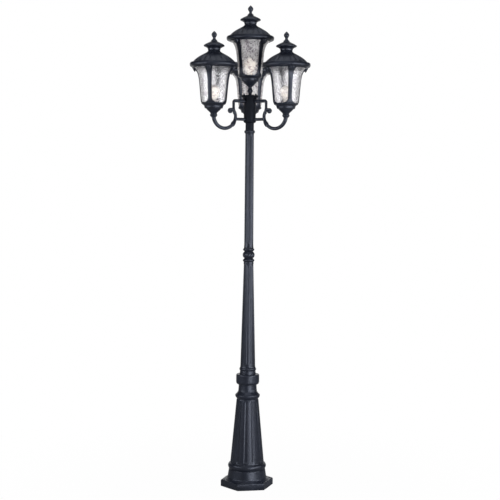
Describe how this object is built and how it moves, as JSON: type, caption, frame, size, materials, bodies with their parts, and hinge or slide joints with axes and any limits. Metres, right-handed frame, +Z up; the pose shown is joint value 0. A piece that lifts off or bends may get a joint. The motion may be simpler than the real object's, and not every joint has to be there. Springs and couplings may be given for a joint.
{
  "type": "outdoor lamp post",
  "caption": "Fluted cast lamp post on a hexagonal foot, with curved scroll arms and a bell-shaped glass lantern on each arm and on top",
  "frame": {"origin": "On the ground at the middle of the anchor hole circle, on the column's axis", "axes": "+Z up along the column; -Y faces the viewer of the picture, towards the gap between the two front arms; +X to that viewer's right"},
  "size_m": [0.5938, 0.5459, 2.3968],
  "materials": {
    "cast_paint": "satin",
    "zinc_steel": "satin",
    "gasket_rubber": "matte",
    "shade_glass": "gloss",
    "socket_ceramic": "gloss",
    "cap_brass": "satin",
    "bulb_glass": "gloss"
  },
  "bodies": {
    "post": {"base_casting": "cast_paint", "base_collar": "cast_paint", "lower_shaft": "cast_paint", "shaft_knuckle": "cast_paint", "upper_shaft": "cast_paint", "shaft_ring": "cast_paint", "hub": "cast_paint", "hub_cap": "cast_paint", "cap_nuts": "cast_paint", "top_stem": "cast_paint", "arm_left": "cast_paint", "arm_right": "cast_paint", "arm_back": "cast_paint", "arm_cups": "cast_paint", "collar_screws": "zinc_steel", "base_pipe": "zinc_steel", "knuckle_pipe": "zinc_steel", "hub_pipe": "zinc_steel", "arm_nuts": "zinc_steel", "lamp_tubes": "zinc_steel", "lock_nuts": "zinc_steel", "roof_straps": "zinc_steel", "strap_screws": "zinc_steel", "roof_rods": "zinc_steel", "rod_nuts": "zinc_steel", "shade_gaskets": "gasket_rubber", "cage_top": "cast_paint", "cage_left": "cast_paint", "cage_right": "cast_paint", "cage_back": "cast_paint", "shade_top": "shade_glass", "shade_left": "shade_glass", "shade_right": "shade_glass", "shade_back": "shade_glass", "socket_top": "socket_ceramic", "socket_left": "socket_ceramic", "socket_right": "socket_ceramic", "socket_back": "socket_ceramic"},
    "lid_top": {"roof_top": "cast_paint", "crown_top": "cast_paint"},
    "knob_top": {"finial_top": "cast_paint"},
    "lamp_top": {"bulb_cap_top": "cap_brass", "bulb_glass_top": "bulb_glass"},
    "lid_left": {"roof_left": "cast_paint", "crown_left": "cast_paint"},
    "knob_left": {"finial_left": "cast_paint"},
    "lamp_left": {"bulb_cap_left": "cap_brass", "bulb_glass_left": "bulb_glass"},
    "lid_right": {"roof_right": "cast_paint", "crown_right": "cast_paint"},
    "knob_right": {"finial_right": "cast_paint"},
    "lamp_right": {"bulb_cap_right": "cap_brass", "bulb_glass_right": "bulb_glass"},
    "lid_back": {"roof_back": "cast_paint", "crown_back": "cast_paint"},
    "knob_back": {"finial_back": "cast_paint"},
    "lamp_back": {"bulb_cap_back": "cap_brass", "bulb_glass_back": "bulb_glass"}
  },
  "joints": [
    {"name": "lid_top_lift", "type": "slide", "parent": "post", "child": "lid_top", "axis": [0, 0, 1], "range_m": [0, 0.16]},
    {"name": "knob_top_turn", "type": "hinge", "parent": "lid_top", "child": "knob_top", "pos_m": [0, 0, 2.345], "axis": [0, 0, 1], "continuous": true},
    {"name": "lamp_top_turn", "type": "hinge", "parent": "post", "child": "lamp_top", "pos_m": [0, 0, 2.04], "axis": [0, 0, 1], "continuous": true},
    {"name": "lid_left_lift", "type": "slide", "parent": "post", "child": "lid_left", "axis": [0, 0, 1], "range_m": [0, 0.09]},
    {"name": "knob_left_turn", "type": "hinge", "parent": "lid_left", "child": "knob_left", "pos_m": [-0.17753, -0.1025, 2.202], "axis": [0, 0, 1], "continuous": true},
    {"name": "lamp_left_turn", "type": "hinge", "parent": "post", "child": "lamp_left", "pos_m": [-0.17753, -0.1025, 1.897], "axis": [0, 0, 1], "continuous": true},
    {"name": "lid_right_lift", "type": "slide", "parent": "post", "child": "lid_right", "axis": [0, 0, 1], "range_m": [0, 0.09]},
    {"name": "knob_right_turn", "type": "hinge", "parent": "lid_right", "child": "knob_right", "pos_m": [0.17753, -0.1025, 2.202], "axis": [0, 0, 1], "continuous": true},
    {"name": "lamp_right_turn", "type": "hinge", "parent": "post", "child": "lamp_right", "pos_m": [0.17753, -0.1025, 1.897], "axis": [0, 0, 1], "continuous": true},
    {"name": "lid_back_lift", "type": "slide", "parent": "post", "child": "lid_back", "axis": [0, 0, 1], "range_m": [0, 0.09]},
    {"name": "knob_back_turn", "type": "hinge", "parent": "lid_back", "child": "knob_back", "pos_m": [0, 0.205, 2.202], "axis": [0, 0, 1], "continuous": true},
    {"name": "lamp_back_turn", "type": "hinge", "parent": "post", "child": "lamp_back", "pos_m": [0, 0.205, 1.897], "axis": [0, 0, 1], "continuous": true}
  ]
}
